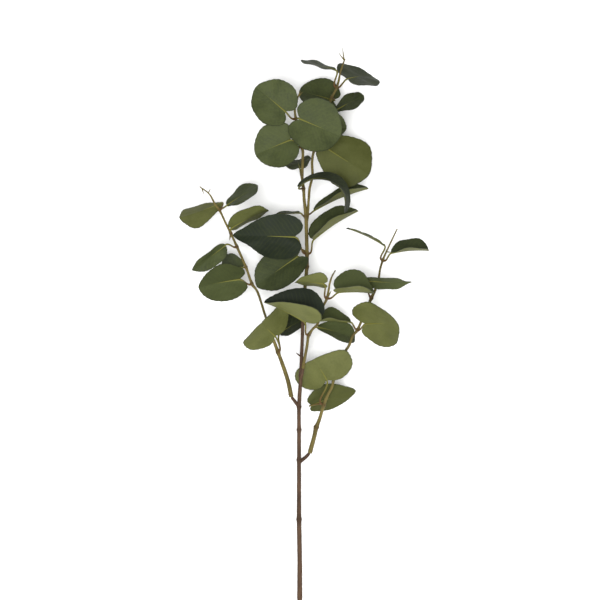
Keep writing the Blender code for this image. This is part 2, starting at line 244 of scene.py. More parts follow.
def geometry_tree(name, inputs, takes_geometry=False):
    """An empty tree with named inputs; gives the tree and a function that reads an input."""
    tree = bpy.data.node_groups.new(name, "GeometryNodeTree")
    if takes_geometry:
        tree.interface.new_socket("Geometry", in_out="INPUT", socket_type="NodeSocketGeometry")
    for label, value in inputs.items():
        kind = "NodeSocketFloat"
        if isinstance(value, Vector):
            kind = "NodeSocketVector"
        socket = tree.interface.new_socket(label, in_out="INPUT", socket_type=kind)
        socket.default_value = value
    tree.interface.new_socket("Geometry", in_out="OUTPUT", socket_type="NodeSocketGeometry")
    entry = tree.nodes.new("NodeGroupInput")
    return tree, lambda label: Value(tree, entry.outputs[label])


def noted(tree, geometry, name, value, kind="FLOAT"):
    """Write a named attribute on the points of a geometry."""
    node = add_node(tree, "GeometryNodeStoreNamedAttribute",
                    {"Geometry": geometry, "Name": name, "Value": value},
                    data_type=kind, domain="POINT")
    return node.outputs[0]


def moved(tree, geometry, **change):
    """Move the points of a geometry: to a Position, or by an Offset."""
    node = add_node(tree, "GeometryNodeSetPosition", {"Geometry": geometry, **change})
    return node.outputs[0]


def end_tree(tree, geometry):
    """Make every instance real and hand over the result."""
    real = add_node(tree, "GeometryNodeRealizeInstances", {"Geometry": geometry})
    add_node(tree, "NodeGroupOutput", {"Geometry": real.outputs[0]})


# %% [markdown]
# A piece is made by giving the tree to a passing object as a modifier.  The result is read out as a
# plain mesh, the object and its modifier go, and the mesh is moved to its place, so that every
# finished piece sits at the origin, unturned and unscaled.

# %% From a tree to a finished piece
SHARP_ANGLE = 50


def grown(name, start_mesh, tree, inputs, place):
    """A plain mesh object from a tree, with its place in the mesh."""
    source = bpy.data.objects.new(name + "_source", start_mesh)
    bpy.context.scene.collection.objects.link(source)
    modifier = source.modifiers.new("shape", "NODES")
    modifier.node_group = tree
    for item in tree.interface.items_tree:
        if item.in_out == "INPUT" and item.name in inputs:
            modifier[item.identifier] = inputs[item.name]
    bpy.context.view_layer.update()
    graph = bpy.context.evaluated_depsgraph_get()
    mesh = bpy.data.meshes.new_from_object(source.evaluated_get(graph))
    bpy.data.objects.remove(source, do_unlink=True)
    mesh.name = name
    mesh.transform(place @ Matrix.Scale(MM, 4))
    mesh.set_sharp_from_angle(angle=math.radians(SHARP_ANGLE))
    made = bpy.data.objects.new(name, mesh)
    bpy.context.scene.collection.objects.link(made)
    return made


def stand_for(piece, node):
    """Show a piece in place of one solid of the packed model."""
    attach(piece, "root")
    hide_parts(node)


print("edges sharper than", SHARP_ANGLE, "degrees stay crisp")

# %% [markdown]
# ## Leaf finishes
# A leaf of this kind is dull blue-green above and a lighter, yellower green below.  Both sides show
# the same midrib, faint side veins and clouds of colour, so one node group draws these for both.
# A drawn image could do it too, but a rule gives each leaf its own clouds.  It reads where a point
# is on the leaf from an attribute that the shape tree writes: how far along the midrib, how far to
# the side, and how far in from the rim.

# %% Leaf pattern group
GREEN_TOP = (0.008, 0.012, 0.006)
GREEN_TOP_PALE = (0.046, 0.056, 0.019)
GREEN_UNDER = (0.040, 0.045, 0.009)
GREEN_UNDER_PALE = (0.092, 0.098, 0.031)
MIDRIB_BRIGHT = (0.15, 0.17, 0.030)
MIDRIB_BROWN = (0.060, 0.050, 0.014)
RIM_DARK = (0.014, 0.018, 0.008)
LEAF_LENGTH = 70.0
MIDRIB_REACH = 0.6
VEIN_SPACING = 6.5
VEIN_SLANT = 0.75
VEIN_WANDER = 7.0
VEIN_WIDTH = 0.11
RIM_WIDTH = 0.035


def attribute(tree, name, output="Vector"):
    """The value of a named attribute in a material, as a socket."""
    reader = add_node(tree, "ShaderNodeAttribute", attribute_name=name)
    return reader.outputs[output]


def shader_group(name, inputs, outputs):
    """An empty node group for materials, with named inputs and outputs."""
    tree = bpy.data.node_groups.new(name, "ShaderNodeTree")
    for label, value in inputs.items():
        socket = tree.interface.new_socket(label, in_out="INPUT", socket_type="NodeSocketFloat")
        socket.default_value = value
    for label in outputs:
        tree.interface.new_socket(label, in_out="OUTPUT", socket_type="NodeSocketFloat")
    entry = tree.nodes.new("NodeGroupInput")
    return tree, lambda label: Value(tree, entry.outputs[label])


def make_leaf_pattern():
    """Masks for the midrib, veins, clouds and rim, and a height for the bump."""
    tree, given = shader_group("leaf_pattern", {"Midrib Width": 0.9, "Midrib Reach": MIDRIB_REACH},
                               ["Midrib", "Veins", "Clouds", "Rim", "Relief"])
    along, across, inset = split(tree, attribute(tree, "place_on_leaf"))
    number = split(tree, attribute(tree, "leaf_tones_and_painted_light"))[2]
    spot = joined(tree, along, across, number * 40)
    clouds = noise(tree, spot, 0.045, 4.0) * 1.3 + noise(tree, spot, 0.35, 4.0) * 0.7
    fine = noise(tree, spot, 2.6)
    share = along / LEAF_LENGTH / given("Midrib Reach")
    width = given("Midrib Width") * (1 - share).clamped(0.05, 1)
    midrib = across.bell(width) * (1 - share.step(0.75, 1.05))
    wander = noise(tree, spot, 0.09) * VEIN_WANDER
    phase = (along - across.size() * VEIN_SLANT + wander) / VEIN_SPACING
    saw = phase.math("FRACT") - 0.5
    veins = saw.bell(VEIN_WIDTH) * inset.step(0.02, 0.2) * (1 - midrib)
    rim = 1 - inset.step(0.0, RIM_WIDTH)
    relief = midrib * 0.5 - veins * 0.07 + fine * 0.15 + clouds * 0.25
    add_node(tree, "NodeGroupOutput", {"Midrib": midrib, "Veins": veins, "Clouds": clouds,
                                       "Rim": rim, "Relief": relief})
    return tree


leaf_pattern = make_leaf_pattern()
print("leaf pattern nodes:", len(leaf_pattern.nodes))

# %% [markdown]
# Each side then mixes its own colours with these masks.  The mixing stays in the material, next to
# its shader.  Each leaf's own tones shift the green.  They are partly the leaf's own colour and
# partly painted light and shade: a low tone paints shade on a leaf, a high tone paints light on it.

# %% Leaf materials
SPECULAR = 0.1
BUMP_STRENGTH = 0.6
VEIN_STRENGTH = 0.035
MIDRIB_STRENGTH = 0.8
RIM_STRENGTH = 0.75


def mixed(tree, share, first, second):
    """A colour between two others; each is a socket or a plain colour."""
    node = add_node(tree, "ShaderNodeMix", data_type="RGBA")
    tree.links.new(share.socket, node.inputs["Factor"])
    for slot, colour in ((node.inputs[6], first), (node.inputs[7], second)):
        if isinstance(colour, bpy.types.NodeSocket):
            tree.links.new(colour, slot)
        else:
            slot.default_value = (*colour, 1)
    return node.outputs[2]


def finish_shader(made, colour, roughness, relief, depth):
    """Feed the shader of a material with a colour, a roughness and a height."""
    tree = made.node_tree
    shader = tree.nodes["Principled BSDF"]
    tree.links.new(colour, shader.inputs["Base Color"])
    shader.inputs["Specular IOR Level"].default_value = SPECULAR
    if isinstance(roughness, Value):
        tree.links.new(roughness.socket, shader.inputs["Roughness"])
    else:
        shader.inputs["Roughness"].default_value = roughness
    bump = add_node(tree, "ShaderNodeBump",
                    {"Height": relief, "Distance": depth * MM, "Strength": BUMP_STRENGTH})
    tree.links.new(bump.outputs["Normal"], shader.inputs["Normal"])


def leaf_material(name, side, deep, pale, midrib, midrib_width, midrib_reach):
    """The finish of one side of a leaf; side 0 is the upper one and 1 the underside."""
    made = plain_material(name, deep, 0.6)
    tree = made.node_tree
    pattern = add_node(tree, "ShaderNodeGroup", node_tree=leaf_pattern)
    pattern.inputs["Midrib Width"].default_value = midrib_width
    pattern.inputs["Midrib Reach"].default_value = midrib_reach
    masks = {socket.name: Value(tree, socket) for socket in pattern.outputs}
    # The leaf's tone is partly its own colour and partly painted light and shade.
    tone = split(tree, attribute(tree, "leaf_tones_and_painted_light"))[side]
    share = (masks["Clouds"] * (tone * 0.8 + 0.25) + tone).clamped(0, 1.4)
    colour = mixed(tree, share, deep, pale)
    colour = mixed(tree, (masks["Veins"] * VEIN_STRENGTH).clamped(), colour, midrib)
    colour = mixed(tree, (masks["Midrib"] * MIDRIB_STRENGTH).clamped(), colour, midrib)
    colour = mixed(tree, (masks["Rim"] * RIM_STRENGTH).clamped(), colour, RIM_DARK)
    finish_shader(made, colour, masks["Clouds"] * 0.2 + 0.58, masks["Relief"], 0.5)
    return made


LEAF_TOP = leaf_material("leaf_top", 0, GREEN_TOP, GREEN_TOP_PALE, MIDRIB_BRIGHT, 0.95,
                         MIDRIB_REACH)
LEAF_UNDER = leaf_material("leaf_underside", 1, GREEN_UNDER, GREEN_UNDER_PALE, MIDRIB_BROWN,
                           0.8, 0.5)
LEAF_RIM = plain_material("leaf_rim", RIM_DARK, 0.7)
print("leaf materials:", [m.name for m in (LEAF_TOP, LEAF_UNDER, LEAF_RIM)])

# %% [markdown]
# ## Stalk and bark finishes
# A stalk is reddish brown at its foot and turns yellow-green where it becomes the midrib.  Bark is
# brown on the old stem and yellow-green with brown clouds on the young ones.  Knots are darker.
# Streaks run along a stem, so the pattern is squeezed across it and long in its length.

# %% Stalk and bark materials
STALK_FOOT = (0.070, 0.036, 0.013)
STALK_END = (0.110, 0.110, 0.022)
BROWN_BARK = (0.030, 0.017, 0.010)
BROWN_BARK_PALE = (0.082, 0.048, 0.028)
GREEN_BARK = (0.048, 0.036, 0.011)
GREEN_BARK_PALE = (0.135, 0.108, 0.032)
KNOT_BROWN = (0.034, 0.018, 0.008)
CUT_WOOD = (0.22, 0.15, 0.08)


def make_stalk_material():
    """Brown at the foot, yellow-green towards the midrib's end."""
    made = plain_material("leaf_stalk", STALK_END, 0.55)
    tree = made.node_tree
    along = Value(tree, attribute(tree, "along_stalk", "Fac"))
    place = add_node(tree, "ShaderNodeTexCoord").outputs["Object"]
    clouds = noise(tree, place, 320, 3.0)
    share = (along.step(0.0, 0.62) + clouds * 0.5).clamped()
    colour = mixed(tree, share, STALK_FOOT, STALK_END)
    finish_shader(made, colour, 0.55, noise(tree, place, 900), 0.2)
    return made


def bark_material(name, deep, pale, knot_share):
    """Streaked bark that darkens at the knots."""
    made = plain_material(name, deep, 0.6)
    tree = made.node_tree
    place = add_node(tree, "ShaderNodeTexCoord").outputs["Object"]
    stretched = add_node(tree, "ShaderNodeMapping", {"Vector": place, "Scale": (1, 0.12, 1)})
    streaks = noise(tree, stretched.outputs[0], 700, 3.0)
    clouds = noise(tree, place, 45, 3.0)
    knot = Value(tree, attribute(tree, "knot", "Fac"))
    share = (streaks * 1.3 + clouds * 1.5 + 0.5).clamped()
    colour = mixed(tree, share, deep, pale)
    colour = mixed(tree, (knot * knot_share).clamped(), colour, KNOT_BROWN)
    finish_shader(made, colour, streaks * 0.3 + 0.6, streaks + clouds * 0.4, 0.5)
    return made


def make_cut_material():
    """The grainy wood of the cut end."""
    made = plain_material("cut_wood", CUT_WOOD, 0.75)
    tree = made.node_tree
    place = add_node(tree, "ShaderNodeTexCoord").outputs["Object"]
    grain = noise(tree, place, 900, 4.0)
    colour = mixed(tree, (grain + 0.5).clamped(), CUT_WOOD, BROWN_BARK_PALE)
    finish_shader(made, colour, 0.75, grain, 0.3)
    return made


LEAF_STALK = make_stalk_material()
BARK_BROWN = bark_material("brown_bark_finish", BROWN_BARK, BROWN_BARK_PALE, 0.45)
BARK_GREEN = bark_material("green_bark_finish", GREEN_BARK, GREEN_BARK_PALE, 0.6)
CUT_END = make_cut_material()
print("stem materials:", [m.name for m in (LEAF_STALK, BARK_BROWN, BARK_GREEN, CUT_END)])

# %% [markdown]
# ## The leaf's shape
# Every leaf follows the same rule.  A square grid is rounded into a disc, the disc is pulled in at
# the stalk and out at the tip, and the sheet is folded along the midrib, cupped and bent down from
# base to tip.  Waves and small dents along the rim keep it from looking stamped.  A grid is chosen
# over a fan of triangles, because its even cells bend without a pinch in the middle.

# %% Leaf rule in nodes
LEAF_CELLS = 44
NOTCH_ANGLE = 17
TIP_ANGLE = 20
CREASE = 2.0
UNEVEN = 0.018
DENTS = 29
DENT_DEPTH = 0.006
WAVES = 5
BUCKLE = 1.8
LEAF_INPUTS = {
    "Length": 70.0, "Width": 70.0, "Fold": 0.14, "Curl": 0.17, "Arch": 0.26, "Twist": 0.0,
    "Notch": 0.4, "Tip": 0.05, "Broad": 0.0, "Ripple": 1.0, "Midrib Share": 0.42,
    "Tones And Painted Light": Vector((0.5, 0.5, 1)),
    "Stalk Start": Vector((-20, 0, 0)), "Stalk Handle": Vector((-15, 0, 0)),
    "Blade Handle": Vector((-8, 0, 0)),
}


def bent(distance, start, gain, span):
    """Run, rise and slope of a line whose slope grows evenly from start by gain over a span."""
    slope = distance / span * gain + start
    run = span / gain * (slope.sin() - start.sin())
    rise = span / gain * (start.cos() - slope.cos())
    return run, rise, slope


def blade_sheet(tree, given):
    """The blade as a sheet without thickness."""
    grid = add_node(tree, "GeometryNodeMeshGrid", {
        "Size X": 2, "Size Y": 2, "Vertices X": LEAF_CELLS + 1, "Vertices Y": LEAF_CELLS + 1})
    u, v, _ = split(tree, tree.nodes.new("GeometryNodeInputPosition").outputs[0])
    disc_x = u * (1 - v * v / 2).root()
    disc_y = v * (1 - u * u / 2).root()
    angle = disc_y.math("ARCTAN2", disc_x)
    radius = (disc_x * disc_x + disc_y * disc_y).root()
    notch = given("Notch") * (math.pi - angle.size()).bell(math.radians(NOTCH_ANGLE))
    tip = given("Tip") * angle.bell(math.radians(TIP_ANGLE))
    number = split(tree, given("Tones And Painted Light").socket)[2]
    uneven = (angle * 3 + number).sin() * UNEVEN + (angle * 7 + number * 2).sin() * UNEVEN / 2
    dents = (angle * DENTS + number).sin() * DENT_DEPTH
    share = 1 - notch + tip + (uneven + dents) * radius * radius * (1 - angle.bell(0.3))
    along = given("Length") / 2 * (disc_x * share + 1 - given("Notch"))
    across = given("Width") / 2 * disc_y * share * (given("Broad") * disc_x + 1)
    wave = given("Ripple") * radius * radius * (angle * WAVES + given("Length")).sin()
    spot = joined(tree, disc_x, disc_y, number * 3)
    wave = (wave + noise(tree, spot, 2.2) * BUCKLE) * disc_y.size().step(0.0, 0.3)
    zero = given("Fold") * 0
    out = (across * across + CREASE ** 2).root() - CREASE
    run, rise, _ = bent(out, given("Fold"), given("Curl"), given("Width") / 2)
    side = run * disc_y.math("SIGN")
    lift = rise + wave
    turn = given("Twist") * along / given("Length")
    side, lift = (side * turn.cos() - lift * turn.sin(), side * turn.sin() + lift * turn.cos())
    forward, drop, slope = bent(along, zero, given("Arch"), given("Length"))
    place = joined(tree, forward + lift * slope.sin(), side, lift * slope.cos() - drop)
    sheet = noted(tree, grid.outputs["Mesh"], "place_on_leaf",
                  joined(tree, along, across, 1 - radius), "FLOAT_VECTOR")
    return moved(tree, sheet, Position=place)


print("cells in a blade:", LEAF_CELLS ** 2)

# %% [markdown]
# The sheet gets its thickness by being extruded.  Its three kinds of faces get finishes of their
# own: the upper side, the underside and the cut rim.

# %% Thickness and finishes of a blade
LEAF_THICKNESS = 0.45
WELD_DISTANCE = 0.001


def coloured(tree, geometry, finish, selection=None):
    """Give faces a material."""
    node = add_node(tree, "GeometryNodeSetMaterial", {"Geometry": geometry, "Material": finish})
    if selection is not None:
        tree.links.new(selection, node.inputs["Selection"])
    return node.outputs[0]


def thick_sheet(tree, sheet):
    """A sheet with a thickness, an upper side, an underside and a rim."""
    normal = tree.nodes.new("GeometryNodeInputNormal").outputs[0]
    down = add_node(tree, "ShaderNodeVectorMath", {0: normal, "Scale": -LEAF_THICKNESS / 2},
                    operation="SCALE")
    low = moved(tree, sheet, Offset=down.outputs[0])
    high = add_node(tree, "GeometryNodeExtrudeMesh",
                    {"Mesh": low, "Offset Scale": LEAF_THICKNESS, "Individual": False})
    upper = coloured(tree, high.outputs["Mesh"], LEAF_TOP)
    upper = coloured(tree, upper, LEAF_RIM, high.outputs["Side"])
    under = add_node(tree, "GeometryNodeFlipFaces", {"Mesh": low})
    under = coloured(tree, under.outputs[0], LEAF_UNDER)
    both = add_node(tree, "GeometryNodeJoinGeometry")
    tree.links.new(under, both.inputs[0])
    tree.links.new(upper, both.inputs[0])
    closed = add_node(tree, "GeometryNodeMergeByDistance",
                      {"Geometry": both.outputs[0], "Distance": WELD_DISTANCE})
    return closed.outputs[0]


print("leaf thickness:", LEAF_THICKNESS, "mm")

# %% [markdown]
# The stalk leaves its stem at a knot, swings round to the blade in one smooth curve and runs on as
# the midrib, getting thinner until it sinks into the blade.  One line of points carries both: the
# first part follows the curve and the second part follows the bend of the blade.

# %% Stalk in nodes
STALK_POINTS = 44
STALK_PART = 0.55
STALK_RADIUS = 1.2
FOOT_SWELL = 0.5
FOOT_REACH = 0.18
MIDRIB_TAPER = 0.78
STALK_SIDES = 12


def skin(tree, curve, sides, finish):
    """A closed tube round a curve, as thick as the curve's radius says."""
    ring = add_node(tree, "GeometryNodeCurvePrimitiveCircle", {"Resolution": sides, "Radius": 1})
    around = noted(tree, ring.outputs[0], "around",
                   tree.nodes.new("GeometryNodeInputPosition").outputs[0], "FLOAT_VECTOR")
    tube = add_node(tree, "GeometryNodeCurveToMesh", {
        "Curve": curve, "Profile Curve": around, "Fill Caps": True,
        "Scale": tree.nodes.new("GeometryNodeInputRadius").outputs[0]})
    return coloured(tree, tube.outputs[0], finish)


def stalk_nodes(tree, given):
    """The stalk and midrib: gives their geometry."""
    line = add_node(tree, "GeometryNodeCurvePrimitiveLine", {"Start": (0, 0, 0), "End": (1, 0, 0)})
    row = add_node(tree, "GeometryNodeResampleCurve",
                   {"Curve": line.outputs[0], "Count": STALK_POINTS})
    t, _, _ = split(tree, tree.nodes.new("GeometryNodeInputPosition").outputs[0])
    q = (t / STALK_PART).clamped()
    rest = ((t - STALK_PART) / (1 - STALK_PART)).clamped()
    p = 1 - q
    starts = split(tree, given("Stalk Start").socket)
    handles = split(tree, given("Stalk Handle").socket)
    arrivals = split(tree, given("Blade Handle").socket)
    curve = [a * p * p * p + b * p * p * q * 3 + c * p * q * q * 3
             for a, b, c in zip(starts, handles, arrivals)]
    zero = given("Fold") * 0
    along = rest * given("Midrib Share") * given("Length")
    forward, drop, _ = bent(along, zero, given("Arch"), given("Length"))
    place = joined(tree, curve[0] + forward, curve[1], curve[2] - drop)
    lined = noted(tree, row.outputs[0], "along_stalk", t)
    thin = (1 - rest * MIDRIB_TAPER) * STALK_RADIUS * (q.bell(FOOT_REACH) * FOOT_SWELL + 1)
    sized = add_node(tree, "GeometryNodeSetCurveRadius", {"Curve": lined, "Radius": thin})
    laid = moved(tree, sized.outputs[0], Position=place)
    return skin(tree, laid, STALK_SIDES, LEAF_STALK)


def make_leaf_tree():
    """The tree that grows any leaf of the branch, stalk and blade."""
    tree, given = geometry_tree("leaf_shape", LEAF_INPUTS)
    both = add_node(tree, "GeometryNodeJoinGeometry")
    tree.links.new(stalk_nodes(tree, given), both.inputs[0])
    tree.links.new(thick_sheet(tree, blade_sheet(tree, given)), both.inputs[0])
    toned = noted(tree, both.outputs[0], "leaf_tones_and_painted_light", given("Tones And Painted Light"), "FLOAT_VECTOR")
    smooth = add_node(tree, "GeometryNodeSetShadeSmooth", {"Geometry": toned})
    end_tree(tree, smooth.outputs[0])
    return tree


leaf_shape = make_leaf_tree()
print("leaf tree nodes:", len(leaf_shape.nodes))

# %% [markdown]
# ## Where the stems run
# The routes are those of the solid model: points along the middle of each stem, with the radius
# there.  Knots are the numbers of the points that carry leaves or side sprigs.

# %% Routes of the stems
MAIN_STEM = [
    (-6, -393, 4.0, 3.8), (-6, -336, 9, 3.4), (-7, -277, 15, 3.3), (-7, -221, 22, 3.0),
    (-7, -192, 27, 3.0), (-7, -149, 34, 2.8), (-7, -116, 40, 2.8), (-4.5, -72, 48, 2.6),
    (-2.5, -22, 55, 2.4), (-1.5, 9, 58, 2.3), (0, 30, 60, 2.2),
]
LEFT_STUB = [(-7, -116, 40, 2.4), (-12, -109.5, 42.5, 2.4), (-17, -103, 44.5, 2.2)]
RIGHT_STUB = [(-7, -195, 26, 2.6), (0, -190, 28.5, 2.6), (7, -183, 31, 2.4)]
INNER_STUB = [(-5, -76, 47, 2.2), (-3, -70, 51.5, 2.2), (-1.5, -62, 55, 2.0)]
CROWN_STEM = [
    (0, 30.6, 60, 2.6), (1.5, 52, 61, 2.5), (3, 69, 62, 2.5), (4, 81, 62.5, 2.5),
    (4.2, 99, 63, 2.6), (3.3, 132, 64, 2.5), (2.8, 151, 65, 2.5), (0, 177, 66, 2.1),
    (-0.7, 190, 66, 2.1), (-2.5, 205, 66, 2.0), (-1.5, 238, 66, 2.0), (-2.9, 248, 66, 2.0),
    (-7, 267, 68, 1.8), (-11.5, 287, 71, 1.8), (-13, 301, 73, 1.5), (-11, 309, 75, 1.3),
    (-7.5, 319, 78, 1.0),
]
CROWN_FORK = [
    (3.2, 138, 64, 2.0), (5, 154.5, 64, 2.0), (6.4, 172, 63, 1.8), (7.8, 190, 61, 1.8),
    (11.8, 208, 60, 1.8), (11.3, 228, 59, 1.8), (14, 244, 58, 1.7), (22, 272, 57, 1.7),
    (32, 297, 58, 1.7), (39, 318, 60, 1.7), (46, 331.5, 62, 1.6), (51, 353, 66, 1.3),
    (57, 371, 70, 1.0),
]
LEFT_SPRIG = [
    (-17.9, -101.6, 45, 3.2), (-22.5, -79.5, 48, 3.0), (-28.6, -60.5, 50, 2.8),
    (-36.5, -38.7, 52, 2.6), (-46.3, -12, 53, 1.8), (-54.3, 12.3, 54, 1.7),
    (-65, 45, 54, 1.7), (-73, 57, 54, 1.8), (-81.5, 80.5, 53, 1.7), (-94, 109, 53, 1.7),
    (-102.5, 127.5, 54, 1.6), (-110, 142.5, 55, 1.5), (-118.5, 160.5, 56, 1.5),
    (-124, 167.5, 57, 1.3), (-132.5, 182.5, 59, 1.1), (-146, 193, 62, 0.8),
]
RIGHT_SPRIG = [
    (8.2, -181.6, 31.6, 3.3), (14.7, -157.5, 36, 3.1), (17.4, -144.7, 38, 3.3),
    (21, -136, 40, 2.6), (28, -113.5, 43, 2.2), (32.7, -100.7, 45, 2.1), (39.8, -86.6, 47, 2.0),
    (42.2, -75.3, 48, 2.0), (50.6, -55.6, 49, 2.0), (58, -38, 50, 2.0), (63, -30, 51, 2.0),
    (69, -15, 52, 1.9), (75, -8, 53, 1.9), (84, 13, 52, 1.8), (94.7, 37, 49, 2.2),
    (103.3, 56.7, 47, 1.7), (107, 77.7, 49, 1.5), (110.7, 90.3, 53, 1.6),
    (115.6, 102.5, 58, 1.2), (130.4, 134, 66, 0.9),
]
INNER_SPRIG = [
    (-1.3, -61.4, 55.2, 2.4), (0.5, -49.8, 58, 2.1), (4, -31.5, 62, 2.0), (6.5, -14.6, 66, 2.0),
    (12.5, -6, 69, 1.8), (19.5, 2, 71, 1.7), (26, 24, 73, 1.6), (32, 37, 74, 1.7),
    (37, 62, 77, 1.2), (43.5, 75.5, 80, 0.9),
]
ROUTES = (MAIN_STEM, LEFT_STUB, RIGHT_STUB, INNER_STUB, CROWN_STEM, CROWN_FORK, LEFT_SPRIG,
          RIGHT_SPRIG, INNER_SPRIG)
print("stem routes:", len(ROUTES), "with", sum(len(route) for route in ROUTES), "points")

# %% [markdown]
# ## Placing a leaf
# A leaf is made lying along +X with its stalk's end at the origin, then turned by a heading, a rise
# and a roll and moved to where its blade begins.  The stalk needs to know where its knot is as seen
# from the leaf, so that point is carried back into the leaf's own space.

# %% Make one leaf
START_HANDLE = 0.4
END_HANDLE = 0.35
ROOT_DEPTH = 0.6
leaf_count = 0
empty_mesh = bpy.data.meshes.new("nothing")


def stalk_inputs(route, knot, base, turn):
    """Start and handles of the stalk's curve, in the leaf's own space."""
    place = Vector(route[knot][:3])
    ahead = Vector(route[min(knot + 1, len(route) - 1)][:3])
    behind = Vector(route[max(knot - 1, 0)][:3])
    axis = (ahead - behind).normalized()
    reach = Vector(base) - place
    outward = (reach - axis * reach.dot(axis)).normalized()
    start = place + outward * route[knot][3] * ROOT_DEPTH
    inverse = turn.inverted()
    start = inverse @ (start - Vector(base))
    length = start.length
    return {"Stalk Start": start, "Stalk Handle": start + inverse @ outward * length * START_HANDLE,
            "Blade Handle": Vector((-length * END_HANDLE, 0, 0))}


def leaf(name, route, knot, base, turn, size, fold=8, curl=10, arch=15, twist=0, notch=0.42,
         tip=0.05, broad=0.0, tones=(0.5, 0.5)):
    """One leaf of the branch, shown in place of its solid."""
    global leaf_count
    leaf_count += 1
    heading, rise, roll = (math.radians(angle) for angle in turn)
    turned = (Euler((0, 0, heading)).to_matrix() @ Euler((0, -rise, 0)).to_matrix()
              @ Euler((roll, 0, 0)).to_matrix())
    inputs = {"Length": size[0], "Width": size[1], "Fold": math.radians(fold),
              "Curl": math.radians(curl), "Arch": math.radians(arch),
              "Twist": math.radians(twist), "Notch": notch, "Tip": tip, "Broad": broad,
              "Tones And Painted Light": Vector((*tones, leaf_count))}
    inputs.update(stalk_inputs(route, knot, base, turned))
    place = Matrix.Translation(Vector(base) * MM) @ turned.to_4x4()
    made = grown(name + "_fine", empty_mesh, leaf_shape, inputs, place)
    stand_for(made, name)


# %% [markdown]
# ## The crown's leaves
# Nine leaves sit on the crown's main stem and seven on its fork.  Many face up, others stand on
# edge, crown_leaf_11 shows its underside, and crown_leaf_4 and crown_leaf_16 hang down to the
# surface.  Each has a tone for its upper side and one for its underside; a higher tone is paler.
# The tones are partly each leaf's own colour and partly painted light and shade.

# %% Leaves of the crown
leaf("crown_leaf_1", CROWN_STEM, 13, (-26.5, 297, 79), (140, 5, 0), (65, 71), tones=(0.88, 0.6))
leaf("crown_leaf_2", CROWN_STEM, 11, (-20, 257, 74), (202, 0, 5), (64, 70), tones=(0.93, 0.6))
leaf("crown_leaf_3", CROWN_STEM, 13, (-5, 285, 92), (-23, 0, 0), (75, 80), tones=(0.8, 0.6))
leaf("crown_leaf_4", CROWN_STEM, 9, (-6, 220, 48), (105, -66, 0), (56, 44), notch=0.3,
     tones=(0.7, 0.5))
leaf("crown_leaf_5", CROWN_STEM, 8, (-3.5, 193, 104), (41, 0, -76), (108, 50), arch=164, twist=28,
     notch=0.2, tip=0, broad=0.3, tones=(0.2, 0.6))
leaf("crown_leaf_6", CROWN_FORK, 1, (15, 160, 52), (29, 0, -74), (84, 40), fold=31, notch=0.1,
     broad=0.4, tones=(0.5, 0.8))
leaf("crown_leaf_7", CROWN_STEM, 4, (14, 119, 62), (39, 0, -66), (78, 56), fold=36, notch=0.15,
     tones=(0.65, 0.8))
leaf("crown_leaf_8", CROWN_STEM, 6, (-6, 156, 60), (181, 0, 84), (46, 34), notch=0.1,
     tones=(0.5, 0.5))
# crown_leaf_9's very low upper tone paints shade on its upper side.
leaf("crown_leaf_9", CROWN_STEM, 4, (-14, 122, 78), (178, 0, 0), (88, 68), notch=0.4, tip=0.36,
     broad=-0.18, tones=(0.05, 0.5))
leaf("crown_leaf_10", CROWN_STEM, 3, (-10, 94, 74), (214, 0, 20), (86, 64), tones=(0.5, 0.5))
leaf("crown_leaf_11", CROWN_FORK, 6, (33, 247, 48), (-33, 0, 180), (83, 76), tip=0.1, broad=0.3,
     tones=(0.6, 0.25))
leaf("crown_leaf_12", CROWN_FORK, 8, (46, 300.5, 60), (30, 0, -52), (44, 43), fold=2, curl=4,
     arch=5, notch=0.1, broad=0.25, tones=(0.5, 0.5))
leaf("crown_leaf_13", CROWN_FORK, 8, (23.5, 283, 33), (-10, 0, 0), (46, 44), tones=(1.2, 0.5))
leaf("crown_leaf_14", CROWN_FORK, 9, (40, 316, 38), (161, 0, 32), (60, 62), tones=(0.75, 0.5))
leaf("crown_leaf_15", CROWN_FORK, 10, (44, 355.5, 66), (163, 0, 74), (52, 44), fold=2, curl=3,
     arch=4, notch=0.1, broad=0.3, tones=(0.4, 0.5))
leaf("crown_leaf_16", CROWN_FORK, 10, (61, 345, 48), (20, -50, -42), (62, 70), fold=3, curl=5,
     arch=5, notch=0.2, tones=(0.4, 0.5))
print("leaves so far:", leaf_count)

# %% [markdown]
# ## The side sprigs' leaves
# The side sprigs are younger, and their leaves sit in loose pairs.  On the left sprig three leaves
# show their underside, the others lie tilted with the upper side in view, and left_leaf_4 hangs
# down to the surface.

# %% Leaves of the left sprig
leaf("left_leaf_1", LEFT_SPRIG, 3, (-41, -16, 59), (135, 40, 180), (52, 86), arch=30,
     tones=(0.5, 0.55))
leaf("left_leaf_2", LEFT_SPRIG, 3, (-33, -12, 38), (35, 0, -50), (46, 46), notch=0.2,
     tones=(0.2, 0.5))
leaf("left_leaf_3", LEFT_SPRIG, 7, (-91, 63, 56.5), (188, 0, 28), (72, 63), fold=-10,
     tones=(1.05, 0.5))
leaf("left_leaf_4", LEFT_SPRIG, 8, (-85, 80, 44), (178, -45, 0), (56, 44), notch=0.1,
     tones=(0.5, 0.5))
leaf("left_leaf_5", LEFT_SPRIG, 9, (-110, 111, 66), (219, 0, -52), (60, 40), fold=12, arch=5,
     notch=0.1, tones=(0.8, 0.5))
leaf("left_leaf_6", LEFT_SPRIG, 10, (-101, 135, 66), (32, 0, 247), (62, 54), notch=0.2,
     tones=(0.6, 0.35))
leaf("left_leaf_7", LEFT_SPRIG, 12, (-117, 171, 40), (205, 0, 225), (64, 46), fold=12, notch=0.1,
     broad=0.5, tones=(0.6, 0.65))
leaf("left_leaf_8", LEFT_SPRIG, 12, (-107, 167, 64), (35, 0, -57), (52, 46), fold=2, curl=4, arch=5,
     notch=0.1, broad=0.25, tones=(0.65, 0.5))
print("leaves so far:", leaf_count)

# %% [markdown]
# Three leaves of the right sprig lie with the underside up, which shows a lighter green, and the
# rest stand on edge.

